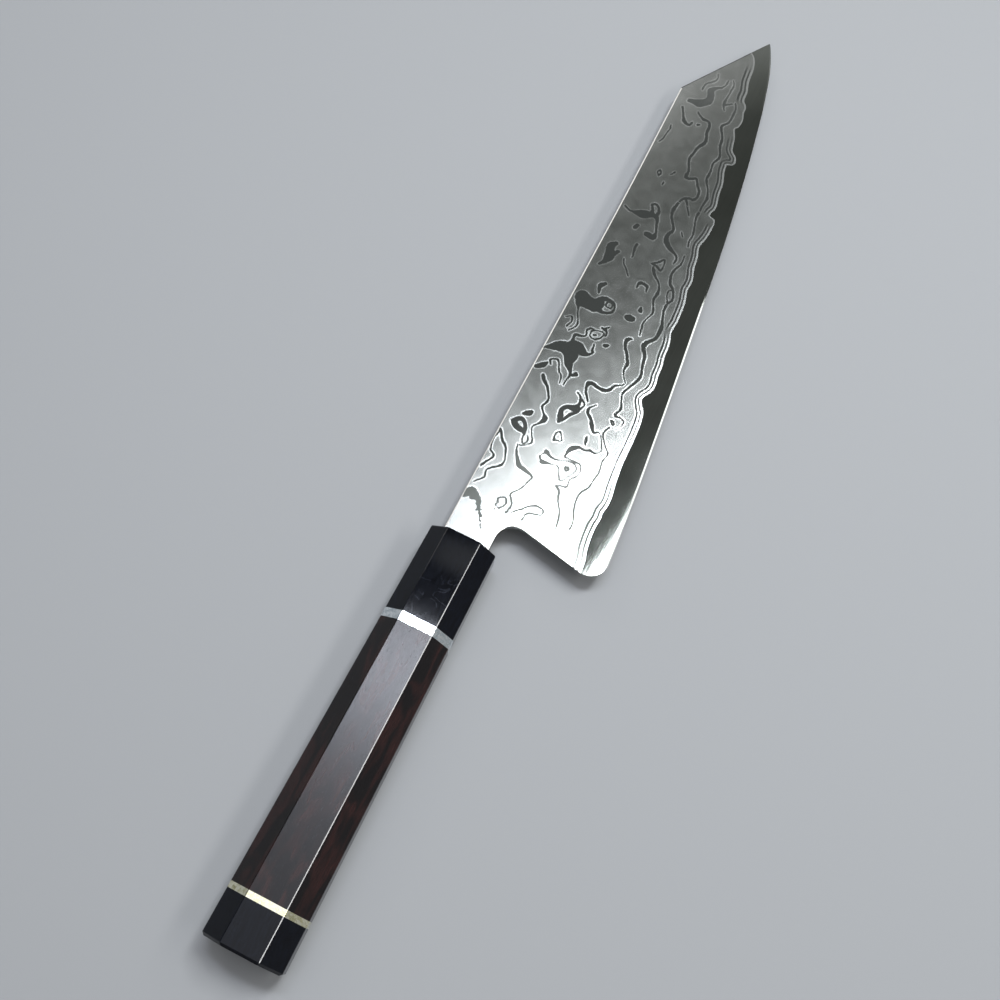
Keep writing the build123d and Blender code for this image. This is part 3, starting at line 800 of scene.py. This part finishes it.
# Tang dowel: a turned hardwood rod, kerfed at its front for the tang, glued into the ferrule,
# the front spacer and the body so that they stay in line. Straight grain with short pores.
wood_colours = (0, (0.36, 0.22, 0.12)), (0.5, (0.5, 0.34, 0.2)), (1, (0.63, 0.46, 0.3))
wood_pore_colour = (0.2, 0.11, 0.06)
wood_roughness = (0, 0.72), (1, 0.55)
dowel_wood, tree, shader = new_material("dowel_wood", specular=0.35)
fibres = placed(tree, drawn_lines, Fineness=2.6, Stretch=22)
rings = placed(tree, drawn_lines, Fineness=0.4, Stretch=14, Twist=0.3)
pores = placed(tree, drawn_lines, Fineness=5, Stretch=9, Low=0.62, High=0.72)
wood_colour = graded(tree, weighed(tree, rings, 0.6, fibres), *wood_colours)
painted(tree, shader, mixed(tree, pores, wood_colour, wood_pore_colour),
        graded(tree, fibres, *wood_roughness))
relief = worked_out(tree, "SUBTRACT", fibres, pores)
bumped(tree, shader, relief, distance=0.00003, strength=0.5)
finished("tang_dowel", dowel_wood)


# Ferrule: black buffalo horn, sawn and ground to the octagon, bored from behind and slotted in
# front for the neck, its arrises struck off with a fine flat, then polished. Faint curved
# growth figure shows in the sheen.
handle_widths, handle_corners = (21.4, 24.3), (5.3, 6.3)
arris_flat = 0.35
# The lie of the two arris flats in a quarter of the octagon, and how far one may lean off it
arris_angles = 67.5, 22.5
arris_leeway = 6
end_on = 0.2
facet_sharpness = 15


def struck_off(name, node, material):
    """A copy of a CAD node, built afresh from its merged points and faces, whose eight long
    arrises are cut flat: each point that stands out of a plane at 22.5 degrees to both facets is
    moved back on to it. Its faces carry arris, which is 1 on those flats."""
    loose = bmesh.new()
    loose.from_mesh(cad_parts[node].data)
    bmesh.ops.remove_doubles(loose, verts=loose.verts, dist=10 * merging_distance)
    loose.verts.ensure_lookup_table()
    corners = [[corner.index for corner in face.verts] for face in loose.faces]
    mesh = bpy.data.meshes.new(name)
    mesh.from_pydata([tuple(point.co) for point in loose.verts], [], corners)
    loose.free()
    points = np.empty(len(mesh.vertices) * 3, np.float32)
    mesh.vertices.foreach_get("co", points)
    x, y, z = (points.reshape(-1, 3) / metres - laid_at).T
    c, s = np.cos(facet_taper), np.sin(facet_taper)
    x, z = x * c - z * s, x * s + z * c
    to_butt = np.clip(-x / handle_length, 0, 1)
    wide, thick, corner = (first + to_butt * (last - first) for first, last in
                           (handle_widths, handle_thicknesses, handle_corners))
    cut = arris_flat * np.tan(np.radians(22.5)) * np.sin(np.radians(22.5))
    arrises = (wide / 2 - corner, thick / 2), (wide / 2, thick / 2 - corner)
    for angle, (reach_y, reach_z) in zip(np.radians(arris_angles), arrises):
        ny, nz = np.cos(angle), np.sin(angle)
        proud = np.maximum(0, ny * (np.abs(y) - reach_y) + nz * (np.abs(z) - reach_z) + cut)
        y, z = y - np.sign(y) * ny * proud, z - np.sign(z) * nz * proud
    moved = lay_down(np.stack((x, y, z), -1)).astype(np.float32)
    mesh.vertices.foreach_set("co", moved.ravel())
    mesh.update()
    facing = np.empty(len(mesh.polygons) * 3, np.float32)
    mesh.polygons.foreach_get("normal", facing)
    facing = np.abs(facing.reshape(-1, 3))
    slant = np.degrees(np.arctan2(facing[:, 2], facing[:, 1]))
    off_flat = np.min([np.abs(slant - angle) for angle in arris_angles], 0)
    flat = (off_flat < arris_leeway) & (facing[:, 0] < end_on)
    mesh.attributes.new("arris", "FLOAT", "FACE").data.foreach_set("value", flat.astype(np.float32))
    mesh.shade_smooth()
    mesh.set_sharp_from_angle(angle=np.radians(facet_sharpness))
    mesh.materials.append(material)
    piece = in_scene(name, mesh)
    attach(piece, "root")
    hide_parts(node)


# The fingers rub the arrises on the edge's side most: y from, y to, and the wear on each side
rubbed_side = (-1, 1, 1, 0.3)
worn_arris, given, result = new_effect("worn_arris", Wear=1.0)
rubbed = placed(worn_arris, drawn_lines, Fineness=0.5, Stretch=5, Low=0.25, High=0.6)
worn = times(worn_arris, carried(worn_arris, "arris"), given["Wear"])
worn = times(worn_arris, worn, eased(worn_arris, on_axis(worn_arris, "Y"), *rubbed_side))
patchy = worked_out(worn_arris, "MULTIPLY_ADD", rubbed, 0.35, 0.65)
worn_arris.links.new(times(worn_arris, worn, patchy), result)


def burnish(tree, shader, wear):
    """A thin burnished skin on the struck arrises, which handling keeps bright."""
    joined(tree, shader.inputs["Coat Weight"], placed(tree, worn_arris, Wear=wear))
    shader.inputs["Coat Roughness"].default_value = 0.16
    shader.inputs["Coat IOR"].default_value = 2.3


horn_colours = (0, (0.0009, 0.0011, 0.0022)), (1, (0.014, 0.019, 0.034))
line_spacing, line_width = 0.055, 0.016
figured_rear = (-18, -9)


def horn(name, gloss, dullest, figured):
    """Black horn. Its figure is fine growth lines, the contours of a broad noise, in a few areas
    of the rear half, with fine fibres along the piece. figured is its strength."""
    material, tree, shader = new_material(name, specular=0.22)
    swirl = placed(tree, patches, Size=15, Twist=0.8, Low=0, High=1)
    contour = worked_out(tree, "PINGPONG", swirl, line_spacing)
    stroke = eased(tree, contour, 0, line_width, 1, 0)
    area = placed(tree, patches, Size=8, Twist=0.5, Low=0.4, High=0.62)
    rear_half = eased(tree, on_axis(tree, "X"), *figured_rear, figured, 0)
    figure = times(tree, times(tree, stroke, area), rear_half)
    fibres = placed(tree, drawn_lines, Fineness=4, Stretch=12)
    dull = weighed(tree, figure, 0.85, fibres)
    painted(tree, shader, graded(tree, weighed(tree, figure, 0.8, fibres), *horn_colours),
            graded(tree, dull, (0, gloss), (1, dullest)))
    bumped(tree, shader, dull, distance=0.000003, strength=0.4)
    burnish(tree, shader, 1.0)
    return material


polished_horn = horn("polished_horn", gloss=0.075, dullest=0.2, figured=0.28)
struck_off("horn_ferrule", "ferrule", polished_horn)


# Front spacer: a ring of white metal, bored for the dowel, glued between ferrule and body and
# ground flush with them. Fine file lines run round it, and the metal has dulled in patches.
spacer_roughness = (0, 0.13), (1, 0.3)


def spacer_metal(name, bright, dull):
    """Ring metal with file lines across the handle and dulled patches."""
    material, tree, shader = new_material(name, metallic=1)
    file_lines = placed(tree, drawn_lines, Fineness=0.6, Stretch=0.05)
    dulled = placed(tree, patches, Size=1.3, Twist=1.0, Low=0.42, High=0.64)
    mark = weighed(tree, dulled, 0.75, file_lines)
    painted(tree, shader, graded(tree, mark, (0, bright), (1, dull)),
            graded(tree, mark, *spacer_roughness))
    bumped(tree, shader, file_lines, distance=0.000003, strength=0.5)
    return material


white_metal = spacer_metal("white_metal", bright=(0.93, 0.96, 0.97), dull=(0.52, 0.6, 0.64))
struck_off("front_ring", "front_spacer", white_metal)


# Handle body: ebony, sawn to the octagon along the grain and bored blind from both ends for the
# two dowels. Oiled to a satin sheen; near black, with a dark red-brown figure and fine pores.
ebony_colours = (
    (0, (0.004, 0.0026, 0.003)), (0.5, (0.015, 0.0055, 0.005)), (1, (0.028, 0.0085, 0.0075)),
)
ebony_pore_colour = (0.002, 0.0015, 0.0015)
ebony_roughness = (0, 0.225), (1, 0.29)
ebony, tree, shader = new_material("oiled_ebony", specular=0.37)
grain = placed(tree, drawn_lines, Fineness=4.5, Stretch=22, Low=0.25, High=0.75)
figure = placed(tree, drawn_lines, Fineness=0.26, Stretch=3.5, Twist=0.9, Low=0.42, High=0.66)
pores = placed(tree, drawn_lines, Fineness=6, Stretch=13, Low=0.6, High=0.7)
streaked = times(tree, figure, worked_out(tree, "MULTIPLY_ADD", grain, 0.5, 0.5))
open_grain = weighed(tree, pores, 0.5, grain)
painted(tree, shader,
        mixed(tree, pores, graded(tree, streaked, *ebony_colours), ebony_pore_colour),
        graded(tree, open_grain, *ebony_roughness))
relief = worked_out(tree, "SUBTRACT", 1, open_grain)
bumped(tree, shader, relief, distance=0.000007, strength=0.5)
burnish(tree, shader, 1.0)
struck_off("ebony_body", "handle_body", ebony)


# Rear spacer: the same kind of ring as the front one, thinner and of a yellower alloy.
yellow_metal = spacer_metal("yellow_metal", bright=(0.94, 0.91, 0.73), dull=(0.62, 0.59, 0.34))
struck_off("rear_ring", "rear_spacer", yellow_metal)


# Butt dowel: a short rod of the same hardwood as the tang dowel, glued into the body, through
# the rear spacer and into the end cap.
finished("butt_dowel", dowel_wood)


# End cap: black horn like the ferrule, bored blind for its dowel, with a small bevel round the
# butt. It is left satin.
satin_horn = horn("satin_horn", gloss=0.22, dullest=0.3, figured=0.1)
struck_off("horn_cap", "end_cap", satin_horn)


# Floor, lamps, sky and camera: the stage, which isn't part of the knife. The floor is plain and
# pale, a hair's breadth under the knife, and soft lamps and dim bands of sky show in the steel.
floor_half = 3.0
floor_drop = 0.0002
floor_mesh = bpy.data.meshes.new("floor")
floor_corners = np.array(((-1, -1, 0), (1, -1, 0), (1, 1, 0), (-1, 1, 0))) * floor_half
floor_mesh.from_pydata(floor_corners.tolist(), [], [(0, 1, 2, 3)])
floor = in_scene("floor", floor_mesh)
floor.location.z = -floor_drop
floor_paint, tree, shader = new_material("floor_paint", specular=0.3)
painted(tree, shader, (0.36, 0.365, 0.37), 0.85)
floor_mesh.materials.append(floor_paint)


def soft_lamp(name, place, size, radiance, colour=(1, 1, 1), turn=(0, 0, 0)):
    """A rectangular soft lamp: its power is the radiance times pi times its area. It shines
    straight down until it is turned by turn, in degrees about x, y and z."""
    light = bpy.data.lights.new(name, "AREA")
    light.shape = "RECTANGLE"
    light.size, light.size_y = size
    light.energy = radiance * np.pi * size[0] * size[1]
    light.color = colour
    lamp = in_scene(name, light)
    lamp.rotation_euler = np.radians(turn)
    lamp.location = place


cool_key, cool_fill = (0.95, 0.99, 1.02), (0.97, 1, 1.02)
soft_lamp("key", (0.3249, -0.1757, 1.0), (0.385, 0.17), 30, cool_key, turn=(0, 0, -15))
soft_lamp("key_upper", (0.246, -0.025, 1.0), (0.112, 0.13), 24, cool_key)
soft_lamp("beside_key", (0.4015, 0.034, 1.0), (0.083, 0.134), 1.3, cool_fill)
soft_lamp("over_neck", (0.3315, 0.0585, 1.0), (0.057, 0.183), 1.3, cool_fill)
soft_lamp("over_handle", (0.1375, 0.12, 1.0), (0.095, 0.28), 29, (0.9, 0.95, 1.08))
soft_lamp("overhead", (-0.18, 0.15, 1.02), (0.7, 0.8), 1.1, (0.93, 0.96, 1.06))
soft_lamp("past_tip", (1.2, 0.39, 1.0), (0.5, 0.4), 0.6)
soft_lamp("right_strip", (0.05, -0.7, 1.0), (0.66, 0.2), 7, turn=(35, 0, 0))
soft_lamp("edge_strip", (0.66, -0.7, 1.0), (0.56, 0.2), 3.2, turn=(35, 0, 0))
soft_lamp("left_strip", (0.95, 1.11, 1.0), (1.1, 0.3), 1.5, (1, 0.97, 0.94), turn=(-48, 0, 0))

# The sky is banded by its height above a plane that leans towards the knife's left
sky_up = (0, -0.423, 0.906)
sky_bands = (
    (0.0, (0.05, 0.05, 0.05)), (0.3, (0.06, 0.062, 0.064)), (0.495, (0.35, 0.36, 0.37)),
    (0.6, (0.48, 0.485, 0.48)), (0.661, (0.183, 0.188, 0.18)), (0.678, (0.1, 0.104, 0.098)),
    (0.704, (0.088, 0.092, 0.086)), (0.727, (0.076, 0.079, 0.074)), (0.75, (0.098, 0.102, 0.096)),
)
world = bpy.data.worlds.new("room")
bpy.context.scene.world = world
world.use_nodes = True
tree = world.node_tree
look = tree.nodes.new("ShaderNodeTexCoord")
height = tree.nodes.new("ShaderNodeVectorMath")
height.operation = "DOT_PRODUCT"
height.inputs[1].default_value = sky_up
tree.links.new(look.outputs["Generated"], height.inputs[0])
sky = graded(tree, height.outputs["Value"], *sky_bands)
tree.links.new(sky, tree.nodes["Background"].inputs["Color"])

camera_data = bpy.data.cameras.new("camera")
camera_data.sensor_width = 36
camera_data.lens = 44.726
camera_data.clip_start = 0.01
camera = in_scene("camera", camera_data)
camera.location = (-0.15437, -0.02394, 0.36599)
camera.rotation_euler = np.radians((19.8412, -3.9248, -63.6982))
bpy.context.scene.camera = camera
bpy.context.scene.view_settings.view_transform = "Standard"
